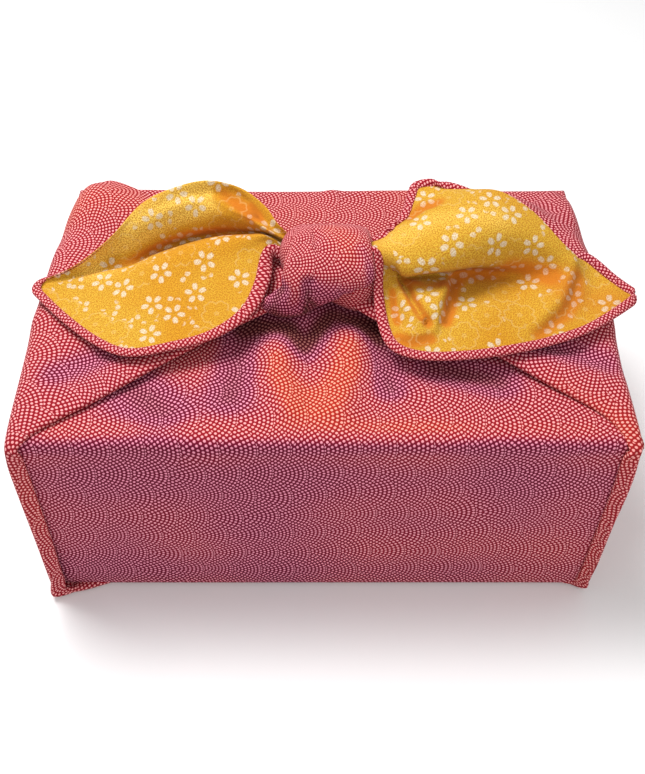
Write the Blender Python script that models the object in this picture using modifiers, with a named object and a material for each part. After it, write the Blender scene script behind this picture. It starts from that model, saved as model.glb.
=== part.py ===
"""A box wrapped in a furoshiki: one square of reversible cloth, knotted over the lid.

The origin is the centre of the underside, +Z is up, and -Y is the front face of the bundle.
The cloth is one solid. It is a thin shell round the box, with a lapped flap on the back, and two
side flaps that rise to a square knot, from which the two free corners of the cloth fan out.
"""
import math

import bmesh
import bpy
import numpy as np
from mathutils import Vector

MM = 0.001

# The rigid box inside, and the cloth that is drawn tight round it.
BOX_WIDTH = 228 * MM
BOX_DEPTH = 150 * MM
BOX_HEIGHT = 96 * MM
BOX_EDGE = 2 * MM
CLEARANCE = 0.3 * MM
CLOTH = 2.0 * MM
SIDE_PLEATS = 4.2 * MM
FOLD_LIP = 2.2 * MM
CORNER_ROUND = 5 * MM
SIDE_SWELL = 2.2 * MM
CORNER_SAG = 3 * MM
KNOT_LIFT = 6.5 * MM
WRAP_HALF_WIDTH = BOX_WIDTH / 2 + CLEARANCE + SIDE_PLEATS
WRAP_HALF_DEPTH = BOX_DEPTH / 2 + CLEARANCE + CLOTH + FOLD_LIP
WRAP_TOP = BOX_HEIGHT + 2 * CLEARANCE + 2 * CLOTH
LIP_WIDTH = 5.5 * MM

# The flap that comes over the lid from the front and hangs a little way down the back.
LAP_GAP = 0.9 * MM
LAP_START = 2 * MM
LAP_HANG = 36 * MM
LAP_DIP = 4 * MM
LAP_HALF_WIDTH = 113.5 * MM

# The slot below the lap joins the space round the box to the gap between the two layers.
SLOT_HALF_LENGTH = 90 * MM
SLOT_START = 26 * MM
SLOT_WIDTH = 5 * MM
SLOT_DEPTH = 3 * MM

# The knot: a core where the two flaps cross, and the broad band wrapped once round it.
KNOT_CENTRE = Vector((3.5, 4, 121)) * MM
CORE_HALF = Vector((23, 15.5, 14)) * MM
BAND_RING = Vector((0, 15, 13)) * MM
BAND_HALF = Vector((16.5, 4.8, 4.8)) * MM
BAND_LEAN = 7 * MM

EAR_CLOTH = 1.6 * MM
FLAP_CLOTH = 2.4 * MM

# The side flaps. Rows run from the side wall to the knot, in millimetres, as (x, y, z). Columns
# run from the front edge over the crown to the back edge.
LEFT_FLAP = (
    ((-116.3, -74, 92), (-116.6, -40, 92), (-116.6, 0, 92), (-116.6, 40, 92), (-115.5, 74, 92)),
    ((-115.5, -76.6, 100.2), (-117.4, -40, 101.2), (-117.6, 0, 101.8), (-116.8, 40, 101.5), (-112.5, 76.6, 101)),
    ((-106, -69.5, 102.4), (-111, -36, 105), (-112, 0, 106), (-110, 36, 105.5), (-103, 68, 104.6)),
    ((-86, -55.5, 104), (-91, -30, 106), (-93, 2, 107), (-91, 32, 106.5), (-84, 56, 106.2)),
    ((-62, -38.5, 106), (-66, -20, 106.6), (-68, 4, 107), (-66, 26, 107.4), (-60, 45, 107.4)),
    ((-40, -24.5, 108.3), (-42, -12, 109.2), (-43, 4, 109.6), (-42, 18, 110.2), (-38, 32, 110)),
    ((-23, -15.5, 111.5), (-23, -7, 113), (-23, 4, 114), (-23, 13, 114.2), (-22, 22, 113)),
    ((-8, -9, 113), (-8, -4, 116), (-8, 3, 117), (-8, 10, 116), (-8, 15, 114)),
)
RIGHT_FLAP = (
    ((116.3, -74, 92), (116.6, -40, 92), (116.6, 0, 92), (116.2, 40, 92), (114.5, 74, 92)),
    ((116.2, -76.6, 100.2), (117.6, -40, 101.2), (117.4, 0, 101.8), (115.4, 40, 101.5), (110.5, 76.6, 101)),
    ((107, -63, 102.6), (111, -36, 105), (111, 0, 106), (109, 36, 105.2), (102, 66, 104.6)),
    ((88, -48, 104), (92, -28, 106), (94, 2, 107), (92, 30, 106.5), (84, 55, 106.2)),
    ((64, -31.5, 107), (68, -18, 107.2), (70, 4, 107.2), (68, 24, 107.5), (61, 44, 107.4)),
    ((43, -26.5, 109.8), (45, -13, 109.8), (46, 3, 110), (45, 16, 110.4), (40, 32, 110)),
    ((27, -24, 112), (27, -12, 113), (27, 2, 114), (27, 12, 114), (26, 22, 113)),
    ((10, -13, 113), (10, -6, 116), (10, 3, 117), (10, 10, 116), (10, 15, 114)),
)

# The free corners. Rows run from the knot to the tip. Columns run from the front hem to the back
# hem: the left corner has one ridge and a valley behind it, the right one has a roll over a valley.
LEFT_EAR = (
    ((-10, 3, 119), (-10, 5, 121), (-10, 7, 123), (-10, 9, 122), (-10, 11, 124), (-10, 13, 124),
     (-10, 15, 125)),
    ((-21, 2, 117.5), (-23, 4, 120), (-23, 9, 124), (-22, 12, 121), (-21, 14, 127), (-19, 17, 127),
     (-18, 20, 131)),
    ((-31, -13, 113), (-35, -3, 117), (-38, 10, 121), (-37, 14, 116), (-35, 18, 128), (-32, 22, 128),
     (-29, 27, 137)),
    ((-48, -25, 109.5), (-51, -8, 114), (-54, 12, 118.5), (-54, 16, 112), (-53, 21, 129), (-49, 27, 130),
     (-44, 32, 139)),
    ((-67, -33, 109), (-69, -12, 112.5), (-72, 10, 116), (-73, 14, 111.5), (-72, 20, 126), (-68, 26, 130),
     (-63, 32, 135)),
    ((-83, -37, 108.5), (-86, -16, 111), (-88, 4, 114), (-89, 8, 111.5), (-89, 14, 118), (-86, 19, 123),
     (-82, 25, 128)),
    ((-98, -23, 109), (-99, -14, 110.6), (-101, -4, 112), (-102, -1, 112), (-102, 4, 114), (-101, 7, 116.5),
     (-100, 10, 119)),
    ((-114.5, -8, 111), (-115, -7.2, 111.2), (-115, -6.4, 111.5), (-115, -5.6, 111.8), (-115, -4.8, 112),
     (-115, -4, 112.3), (-114.5, -3, 112.6)),
)
RIGHT_EAR = (
    ((10, -3, 119), (10, -0.5, 120), (10, 2, 121), (10, 4.5, 121.5), (10, 7, 123), (10, 9.5, 125),
     (10, 12, 126), (10, 14.5, 126)),
    ((21, -3, 124), (24, -4, 120), (26, -0.5, 119), (26, 3.5, 119.5), (26, 7, 123.5), (26, 9, 130),
     (24, 13, 131.5), (22, 17, 129)),
    ((24, -13, 116), (30, -12, 114), (34, -7, 120), (35, 0, 117), (34, 2, 124), (34, 8, 134),
     (33, 16, 133), (31, 21, 131)),
    ((32, -31, 110), (37, -26, 112), (43, -14, 120), (47, -4, 115), (46, 0, 126), (46, 10, 137),
     (43, 24, 135), (39, 33, 136)),
    ((47, -37, 108), (51, -31, 111), (55, -18, 114), (62, -3, 113), (62, 0, 126), (61, 12, 138),
     (59, 24, 135), (56, 30, 135)),
    ((66, -37, 108), (70, -29, 111), (75, -18, 116), (80, -4, 113), (81, 0, 124), (79, 12, 136),
     (76, 22, 132), (73, 27, 131)),
    ((86, -35, 109), (88, -28, 111), (92, -20, 115), (96, -7, 114), (97, -2, 121), (96, 6, 130),
     (93, 14, 126), (90, 19, 125)),
    ((104, -29, 111), (104, -24, 111.5), (105, -18, 112.5), (106, -11, 113.5), (106, -5, 115), (106, 0, 117),
     (106, 4, 118), (106, 8, 120)),
    ((124, -15, 113), (124.4, -14.3, 113.1), (124.8, -13.6, 113.3), (125, -12.9, 113.5), (125, -12.2, 113.7),
     (124.8, -11.5, 113.9), (124.4, -10.8, 114.2), (124, -10, 114.5)),
)


def clear_scene():
    for old in list(bpy.data.objects):
        bpy.data.objects.remove(old)


def collection(name):
    made = bpy.data.collections.new(name)
    bpy.context.scene.collection.children.link(made)
    return made


def material(name, colour, roughness):
    made = bpy.data.materials.new(name)
    made.use_nodes = True
    shader = made.node_tree.nodes["Principled BSDF"]
    shader.inputs["Base Color"].default_value = (*colour, 1)
    shader.inputs["Roughness"].default_value = roughness
    shader.inputs["Metallic"].default_value = 0
    return made


def mesh_object(name, bm, home, finish):
    bmesh.ops.recalc_face_normals(bm, faces=bm.faces)
    mesh = bpy.data.meshes.new(name)
    bm.to_mesh(mesh)
    bm.free()
    mesh.materials.append(finish)
    made = bpy.data.objects.new(name, mesh)
    home.objects.link(made)
    return made


def guide(made):
    """A guide shape is only joined to, or cut from, another object."""
    made.hide_render = True
    made.display_type = "WIRE"
    return made


def through(points, steps):
    """Points of a smooth curve through the given ones, steps to each gap (Catmull-Rom)."""
    first = 2 * points[0] - points[1]
    last = 2 * points[-1] - points[-2]
    knots = [first, *points, last]
    curve = []
    for before, start, end, after in zip(knots, knots[1:], knots[2:], knots[3:]):
        for step in range(steps):
            t = step / steps
            curve.append(0.5 * (2 * start + (end - before) * t
                                + (2 * before - 5 * start + 4 * end - after) * t ** 2
                                + (3 * start - before - 3 * end + after) * t ** 3))
    curve.append(points[-1])
    return curve


def cloth_sheet(name, table, across, along, thickness, home, finish):
    """A sheet of cloth lofted through the rows of a table, then given its thickness."""
    rows = [through([np.array(point) * MM for point in row], across) for row in table]
    columns = [through([row[i] for row in rows], along) for i in range(len(rows[0]))]
    bm = bmesh.new()
    grid = [[bm.verts.new(point) for point in column] for column in columns]
    for left, right in zip(grid, grid[1:]):
        for a, b, c, d in zip(left, left[1:], right[1:], right):
            bm.faces.new((a, b, c, d))
    sheet = mesh_object(name, bm, home, finish)
    solid = sheet.modifiers.new("thickness", "SOLIDIFY")
    solid.thickness = thickness
    solid.offset = 0
    return sheet


def block(name, low, high, home, finish):
    bm = bmesh.new()
    bmesh.ops.create_cube(bm, size=1)
    low = Vector(low)
    high = Vector(high)
    for vert in bm.verts:
        vert.co = Vector([low[i] + (vert.co[i] + 0.5) * (high[i] - low[i]) for i in range(3)])
    return mesh_object(name, bm, home, finish)


def make_box(home, finish):
    low = (-BOX_WIDTH / 2, -BOX_DEPTH / 2, CLOTH + CLEARANCE)
    high = (BOX_WIDTH / 2, BOX_DEPTH / 2, CLOTH + CLEARANCE + BOX_HEIGHT)
    box = block("box", low, high, home, finish)
    edge = box.modifiers.new("edge", "BEVEL")
    edge.width = BOX_EDGE
    edge.segments = 2
    return box


def bell(value, centre, reach):
    return math.exp(-((value - centre) / reach) ** 2)


def front_relief(x, z):
    """How far the front panel stands back from the folded edges of the side flaps."""
    if abs(x) > WRAP_HALF_WIDTH - LIP_WIDTH:
        return -CORNER_SAG * bell(z, 6 * MM, 16 * MM) if z > CORNER_ROUND / 2 else 0
    slack = 0.8 * MM * math.sin(x / (31 * MM)) * math.sin(math.pi * z / WRAP_TOP)
    return FOLD_LIP + slack


def top_relief(x, y):
    """The cloth on the lid is drawn up towards the knot in soft ridges."""
    lift = KNOT_LIFT * bell(math.hypot(0.75 * (x - KNOT_CENTRE.x), y), 0, 38 * MM)
    ridge = 3 * MM * bell(x + 0.15 * y, -14 * MM, 11 * MM) * bell(y, -40 * MM, 24 * MM)
    ripple = 1.2 * MM * math.sin(x / (13 * MM)) * bell(y, -50 * MM, 22 * MM)
    return lift + ridge + ripple


def side_relief(y, z):
    """Two pleat lines lean together as they climb the side wall."""
    swell = SIDE_SWELL * math.sin(math.pi * min(1, z / WRAP_TOP))
    lean = 62 * MM - 22 * MM * z / WRAP_TOP
    pleat = 1.2 * MM * (bell(y, -lean, 5 * MM) + bell(y, lean, 5 * MM))
    return swell - pleat


def grid_lines(half, fine):
    """Lines across a face: close together at the folded edges and even between them."""
    inner = half - fine[-1]
    middle = np.linspace(-inner, inner, 17 - 2 * len(fine) + 2)
    return [-half + step for step in fine[:-1]] + list(middle) + [half - step for step in fine[-2::-1]]


def make_wrap(home, finish):
    """The cloth drawn round the box: a block with a line of points at every fold."""
    cuts = 15
    bm = bmesh.new()
    bmesh.ops.create_cube(bm, size=2)
    bmesh.ops.subdivide_edges(bm, edges=bm.edges, cuts=cuts, use_grid_fill=True)
    x_lines = grid_lines(WRAP_HALF_WIDTH, (0, 1.5 * MM, 3.5 * MM, LIP_WIDTH, LIP_WIDTH + 1.2 * MM))
    y_lines = grid_lines(WRAP_HALF_DEPTH, (0, 1.5 * MM, 3.5 * MM, 7 * MM))
    z_lines = [WRAP_TOP / 2 + z for z in grid_lines(WRAP_TOP / 2, (0, 1.5 * MM, 4 * MM, 9 * MM))]
    for vert in bm.verts:
        i, j, k = (round((value + 1) / 2 * (cuts + 1)) for value in vert.co)
        point = Vector((x_lines[i], y_lines[j], z_lines[k]))
        on_side = i in (0, cuts + 1)
        on_front = j in (0, cuts + 1)
        on_top = k == cuts + 1
        core = Vector((
            max(-WRAP_HALF_WIDTH + CORNER_ROUND, min(WRAP_HALF_WIDTH - CORNER_ROUND, point.x)),
            max(-WRAP_HALF_DEPTH + CORNER_ROUND, min(WRAP_HALF_DEPTH - CORNER_ROUND, point.y)),
            max(CORNER_ROUND, min(WRAP_TOP - CORNER_ROUND, point.z)),
        ))
        reach = point - core
        if reach.length > CORNER_ROUND:
            reach *= CORNER_ROUND / reach.length
        placed = core + reach
        if on_front:
            placed.y -= math.copysign(front_relief(point.x, point.z), point.y)
        if on_side:
            placed.x += math.copysign(side_relief(point.y, point.z), point.x)
        if on_top and abs(point.x) < 100 * MM and abs(point.y) < 70 * MM:
            placed.z += top_relief(point.x, point.y)
        vert.co = placed
    return mesh_object("furoshiki", bm, home, finish)


def make_lap(home, finish):
    """The end of the outer flap, over the lid and down the back, a little off the layer below."""
    under = WRAP_TOP + LAP_GAP + CLOTH / 2
    behind = WRAP_HALF_DEPTH - FOLD_LIP + LAP_GAP + CLOTH / 2
    profile = (
        (LAP_START, WRAP_TOP + 0.6 * MM),
        (LAP_START + 12 * MM, WRAP_TOP + 1.6 * MM),
        (30 * MM, under),
        (55 * MM, under),
        (behind - 5 * MM, under - 0.4 * MM),
        (behind - 1 * MM, under - 2 * MM),
        (behind, under - 6 * MM),
        (behind, under - 20 * MM),
        (behind + 0.8 * MM, under - LAP_HANG),
    )
    table = []
    for share in (-1, -0.6, -0.2, 0.2, 0.6, 1):
        x = share * LAP_HALF_WIDTH
        hang = [(x, y, z) for y, z in profile[:-1]]
        y, z = profile[-1]
        hang.append((x, y, z - LAP_DIP * (1 - share ** 2)))
        table.append([[value / MM for value in point] for point in hang])
    return cloth_sheet("lap", table, 2, 2, CLOTH, home, finish)


def make_knot_core(home, finish):
    """The crossing of the two flaps, blunt at its ends, where the free corners leave it."""
    bm = bmesh.new()
    bmesh.ops.create_uvsphere(bm, u_segments=16, v_segments=10, radius=1)
    for vert in bm.verts:
        direction = vert.co.copy()
        blunt = sum(abs(value) ** 3 for value in direction) ** (-1 / 5)
        vert.co = KNOT_CENTRE + direction * blunt * CORE_HALF
    return mesh_object("knot_core", bm, home, finish)


def make_knot_band(home, finish):
    """The broad band round the core: wide at the top, drawn in below, and leaning a little."""
    around = 28
    across = 12
    bm = bmesh.new()
    rings = []
    for i in range(around):
        turn = 2 * math.pi * i / around
        out = Vector((0, math.cos(turn), math.sin(turn)))
        width = BAND_HALF.x * (0.86 + 0.14 * out.z)
        fold = 1 + 0.12 * math.sin(3 * turn)
        lean = BAND_LEAN * out.y * out.z
        ring = []
        for j in range(across):
            angle = 2 * math.pi * j / across
            flat = math.copysign(abs(math.cos(angle)) ** 0.6, math.cos(angle))
            proud = BAND_HALF.z * fold * math.sin(angle)
            place = out * BAND_RING + out * proud
            ring.append(bm.verts.new(KNOT_CENTRE + place + Vector((lean + flat * width, 0, 0))))
        rings.append(ring)
    for ring, following in zip(rings, rings[1:] + rings[:1]):
        for j in range(across):
            k = (j + 1) % across
            bm.faces.new((ring[j], ring[k], following[k], following[j]))
    return mesh_object("knot_band", bm, home, finish)


def boolean(made, other, operation):
    joint = made.modifiers.new(other.name, "BOOLEAN")
    joint.operation = operation
    joint.object = other


def main():
    clear_scene()
    bundle = collection("furoshiki_wrapped_box")
    guides = collection("guides")
    cloth = material("dotted_crepe", (0.62, 0.06, 0.14), 0.85)
    card = material("plain_card", (0.72, 0.63, 0.5), 0.7)
    make_box(bundle, card)
    wrap = make_wrap(bundle, cloth)
    joined = [
        make_lap(guides, cloth),
        cloth_sheet("left_flap", LEFT_FLAP, 3, 2, FLAP_CLOTH, guides, cloth),
        cloth_sheet("right_flap", RIGHT_FLAP, 3, 2, FLAP_CLOTH, guides, cloth),
        make_knot_core(guides, cloth),
        make_knot_band(guides, cloth),
        cloth_sheet("left_ear", LEFT_EAR, 2, 2, EAR_CLOTH, guides, cloth),
        cloth_sheet("right_ear", RIGHT_EAR, 2, 2, EAR_CLOTH, guides, cloth),
    ]
    for piece in joined:
        boolean(wrap, guide(piece), "UNION")
    half_width = BOX_WIDTH / 2 + CLEARANCE
    half_depth = BOX_DEPTH / 2 + CLEARANCE
    ceiling = CLOTH + BOX_HEIGHT + 2 * CLEARANCE
    cavity_low = (-half_width, -half_depth, CLOTH)
    cavity = block("cavity", cavity_low, (half_width, half_depth, ceiling), guides, cloth)
    slot_low = (-SLOT_HALF_LENGTH, SLOT_START, ceiling - SLOT_DEPTH)
    slot_high = (SLOT_HALF_LENGTH, SLOT_START + SLOT_WIDTH, WRAP_TOP + LAP_GAP / 2)
    slot = block("slot", slot_low, slot_high, guides, cloth)
    for cutter in (cavity, slot):
        boolean(wrap, guide(cutter), "DIFFERENCE")


main()
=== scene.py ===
"""The looks of a box wrapped in a furoshiki: a square of doubled crepe, knotted over the lid."""
import math

import bpy
import numpy as np
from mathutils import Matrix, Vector


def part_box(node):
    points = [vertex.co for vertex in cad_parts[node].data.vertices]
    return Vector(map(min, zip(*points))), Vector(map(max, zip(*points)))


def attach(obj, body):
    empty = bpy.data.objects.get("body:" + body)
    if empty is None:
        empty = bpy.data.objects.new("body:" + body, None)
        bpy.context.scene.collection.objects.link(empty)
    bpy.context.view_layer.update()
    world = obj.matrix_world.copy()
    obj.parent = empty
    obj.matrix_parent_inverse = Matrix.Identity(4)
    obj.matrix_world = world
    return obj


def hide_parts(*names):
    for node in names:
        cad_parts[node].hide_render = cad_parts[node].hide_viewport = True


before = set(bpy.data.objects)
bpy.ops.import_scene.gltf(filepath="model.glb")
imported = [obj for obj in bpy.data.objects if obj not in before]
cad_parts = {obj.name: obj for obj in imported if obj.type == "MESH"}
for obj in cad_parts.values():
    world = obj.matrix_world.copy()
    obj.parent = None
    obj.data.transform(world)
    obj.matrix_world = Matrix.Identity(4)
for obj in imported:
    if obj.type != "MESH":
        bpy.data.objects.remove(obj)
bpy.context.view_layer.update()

MM = 0.001


# The camera looks down at the front of the bundle from arm's length, so that the front face, the
# lid and the knot all show.
def look_from_above():
    data = bpy.data.cameras.new("camera")
    data.lens = 46.05
    camera = bpy.data.objects.new("camera", data)
    bpy.context.scene.collection.objects.link(camera)
    camera.location = (0, -306 * MM, 385 * MM)
    camera.rotation_euler = (math.radians(42.1), 0, 0)
    bpy.context.scene.camera = camera


look_from_above()


# The floor and the light are a plain pale studio: one broad lamp above and behind the bundle,
# and a weaker one in front that opens up the shade on the front face.
def deselect_all():
    for made in bpy.context.selected_objects:
        made.select_set(False)


def plain_floor():
    deselect_all()
    bpy.ops.mesh.primitive_plane_add(size=6, location=(0, 0, 0))
    floor = bpy.context.object
    floor.name = "floor"
    paint = bpy.data.materials.new("pale_floor")
    paint.use_nodes = True
    shader = paint.node_tree.nodes["Principled BSDF"]
    shader.inputs["Base Color"].default_value = (0.88, 0.88, 0.88, 1)
    shader.inputs["Roughness"].default_value = 0.9
    floor.data.materials.append(paint)


LAMP_AIM = (0, 0, 0.08)


def soft_lamp(name, place, size, watts):
    data = bpy.data.lights.new(name, "AREA")
    data.shape = "SQUARE"
    data.size = size
    data.energy = watts
    lamp = bpy.data.objects.new(name, data)
    bpy.context.scene.collection.objects.link(lamp)
    lamp.location = place
    away = lamp.location - Vector(LAMP_AIM)
    lamp.rotation_euler = away.to_track_quat("Z", "Y").to_euler()


def studio_sky(strength):
    world = bpy.data.worlds.new("studio")
    world.use_nodes = True
    world.node_tree.nodes["Background"].inputs["Color"].default_value = (1, 1, 1, 1)
    world.node_tree.nodes["Background"].inputs["Strength"].default_value = strength
    bpy.context.scene.world = world


plain_floor()
studio_sky(0.5)
soft_lamp("key_lamp", (-0.28, 0.2, 0.88), 0.4, 8.2)
soft_lamp("front_lamp", (0.25, -0.75, 0.75), 0.8, 3)
bpy.context.scene.view_settings.view_transform = "Standard"


# Both faces of the cloth are fine crepe: a hard-twisted silk or polyester that shrinks into a
# pebbled grain. The groups below give its grain, the dots of the outside and the blossoms inside.
class Sums:
    """Places the nodes of a shader sum in a tree, and gives back their outputs."""

    def __init__(self, tree):
        self.tree = tree

    def node(self, kind, **settings):
        made = self.tree.nodes.new(kind)
        for name, value in settings.items():
            setattr(made, name, value)
        return made

    def feed(self, socket, value):
        if isinstance(value, bpy.types.NodeSocket):
            self.tree.links.new(value, socket)
        else:
            socket.default_value = value

    def math(self, operation, *values):
        made = self.node("ShaderNodeMath", operation=operation)
        for socket, value in zip(made.inputs, values):
            self.feed(socket, value)
        return made.outputs[0]

    def vector(self, operation, *values):
        made = self.node("ShaderNodeVectorMath", operation=operation)
        for socket, value in zip(made.inputs, values):
            self.feed(socket, value)
        return made.outputs["Value" if operation == "LENGTH" else "Vector"]

    def between(self, value, low, high):
        """0 below low and 1 above high, or the other way round, with a soft step."""
        made = self.node("ShaderNodeMapRange", interpolation_type="SMOOTHSTEP")
        for socket, given in zip(made.inputs, (value, low, high, 0.0, 1.0)):
            self.feed(socket, given)
        return made.outputs[0]

    def pick(self, share, off, on):
        """The first number where the share is 0, and the second where it is 1."""
        made = self.node("ShaderNodeMix", data_type="FLOAT")
        for place, value in ((0, share), (2, off), (3, on)):
            self.feed(made.inputs[place], value)
        return made.outputs[0]

    def blend(self, share, below, above):
        """One colour laid over another by the share."""
        made = self.node("ShaderNodeMix", data_type="RGBA")
        self.feed(made.inputs["Factor"], share)
        self.feed(made.inputs["A"], below)
        self.feed(made.inputs["B"], above)
        return made.outputs["Result"]

    def noise(self, place, scale, detail=2.0, roughness=0.5, dimensions="3D"):
        made = self.node("ShaderNodeTexNoise", noise_dimensions=dimensions)
        self.feed(made.inputs["Vector"], place)
        self.feed(made.inputs["Scale"], scale)
        self.feed(made.inputs["Detail"], detail)
        self.feed(made.inputs["Roughness"], roughness)
        return made


def group(name, takes, gives):
    """A node group with the named float and vector sockets."""
    tree = bpy.data.node_groups.new(name, "ShaderNodeTree")
    kinds = {"float": "NodeSocketFloat", "vector": "NodeSocketVector"}
    for socket, kind in takes.items():
        tree.interface.new_socket(socket, in_out="INPUT", socket_type=kinds[kind])
    for socket, kind in gives.items():
        tree.interface.new_socket(socket, in_out="OUTPUT", socket_type=kinds[kind])
    sums = Sums(tree)
    return sums, sums.node("NodeGroupInput").outputs, sums.node("NodeGroupOutput").inputs


def crepe_grain():
    """Height: the pebbles of the crepe. Fleck: the same pebbles, sharpened for colour."""
    sums, takes, gives = group("crepe_grain", {"Cloth": "vector", "Grain": "float"},
                               {"Height": "float", "Fleck": "float"})
    scale = sums.math("DIVIDE", 1.0, takes["Grain"])
    coarse = sums.noise(takes["Cloth"], scale, detail=1.0, roughness=0.6, dimensions="2D")
    pebbles = coarse.outputs["Fac"]
    fine = sums.noise(takes["Cloth"], sums.math("MULTIPLY", scale, 2.7), detail=1.0, dimensions="2D")
    fine_share = sums.math("MULTIPLY", fine.outputs["Fac"], 0.4)
    sums.feed(gives["Height"], sums.math("ADD", pebbles, fine_share))
    sums.feed(gives["Fleck"], sums.between(pebbles, 0.38, 0.62))
    return sums.tree


def fan_dots():
    """Dots in rings round the centres of fans that overlap like fish scales."""
    sums, takes, gives = group("fan_dots", {"Cloth": "vector", "Fan": "float", "Pitch": "float",
                                            "Dot": "float", "Sway": "float"},
                               {"Dot": "float", "Heart": "float"})
    sway = sums.noise(takes["Cloth"], 34.0, detail=0.0, dimensions="2D").outputs["Color"]
    shift = sums.vector("SUBTRACT", sway, (0.5, 0.5, 0.5))
    scaled = sums.node("ShaderNodeVectorMath", operation="SCALE")
    sums.feed(scaled.inputs[0], shift)
    sums.feed(scaled.inputs["Scale"], takes["Sway"])
    place = sums.node("ShaderNodeSeparateXYZ")
    sums.feed(place.inputs[0], sums.vector("ADD", takes["Cloth"], scaled.outputs[0]))
    across, up = place.outputs[0], place.outputs[1]
    fan = takes["Fan"]
    pitch = takes["Pitch"]
    row_height = sums.math("MULTIPLY", fan, 0.5)
    below = sums.math("DIVIDE", sums.math("SUBTRACT", up, fan), row_height)
    first_row = sums.math("ADD", sums.math("FLOOR", below), 1.0)
    width = sums.math("MULTIPLY", fan, 2.0)
    reach = angle = None
    for step in (2, 1, 0):
        row = sums.math("ADD", first_row, float(step))
        rise = sums.math("SUBTRACT", up, sums.math("MULTIPLY", row, row_height))
        odd = sums.math("FLOORED_MODULO", row, 2.0)
        slid = sums.math("ADD", sums.math("SUBTRACT", across, sums.math("MULTIPLY", odd, fan)), fan)
        run = sums.math("SUBTRACT", sums.math("FLOORED_MODULO", slid, width), fan)
        far = sums.math("SQRT", sums.math("ADD", sums.math("MULTIPLY", run, run),
                                          sums.math("MULTIPLY", rise, rise)))
        turn = sums.math("ARCTAN2", run, rise)
        if reach is None:
            reach, angle = far, turn
        else:
            inside = sums.math("LESS_THAN", far, fan)
            reach = sums.pick(inside, reach, far)
            angle = sums.pick(inside, angle, turn)
    ring = sums.math("ROUND", sums.math("DIVIDE", reach, pitch))
    counted = sums.math("MAXIMUM", ring, 1.0)
    spacing = sums.math("DIVIDE", math.pi / 3, counted)
    half = sums.math("MULTIPLY", sums.math("FLOORED_MODULO", ring, 2.0), 0.5)
    turns = sums.math("ADD", sums.math("DIVIDE", angle, spacing), half)
    off = sums.math("MULTIPLY", sums.math("SUBTRACT", turns, sums.math("ROUND", turns)), spacing)
    along = sums.math("MULTIPLY", off, sums.math("MULTIPLY", ring, pitch))
    out = sums.math("SUBTRACT", reach, sums.math("MULTIPLY", ring, pitch))
    far = sums.math("SQRT", sums.math("ADD", sums.math("MULTIPLY", along, along),
                                      sums.math("MULTIPLY", out, out)))
    dot = takes["Dot"]
    dot_rim = sums.math("MULTIPLY", dot, 1.35)
    dot_core = sums.math("MULTIPLY", dot, 0.6)
    sums.feed(gives["Dot"], sums.between(far, dot_rim, dot_core))
    sums.feed(gives["Heart"], sums.between(far, dot, 0.0))
    return sums.tree


def petals(sums, local, turn, count, reach, half_long, half_wide):
    """Heart-tipped petals round a point: 0 in the middle of a petal, and 1 at its rim."""
    split = sums.node("ShaderNodeSeparateXYZ")
    sums.feed(split.inputs[0], local)
    angle = sums.math("ADD", sums.math("ARCTAN2", split.outputs[1], split.outputs[0]), turn)
    sector = 2 * math.pi / count
    bent = sums.math("SUBTRACT", sums.math("FLOORED_MODULO", angle, sector), sector / 2)
    far = sums.vector("LENGTH", local)
    out = sums.math("SUBTRACT", sums.math("MULTIPLY", far, sums.math("COSINE", bent)), reach)
    side = sums.math("ABSOLUTE", sums.math("MULTIPLY", far, sums.math("SINE", bent)))
    long_share = sums.math("DIVIDE", out, half_long)
    wide_share = sums.math("DIVIDE", side, half_wide)
    tip = sums.math("MAXIMUM", sums.math("SUBTRACT", long_share, wide_share), 0.0)
    notch = sums.math("MULTIPLY", tip, 0.9)
    square = sums.math("ADD", sums.math("MULTIPLY", long_share, long_share),
                       sums.math("MULTIPLY", wide_share, wide_share))
    return sums.math("ADD", square, sums.math("MULTIPLY", notch, notch))


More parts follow.
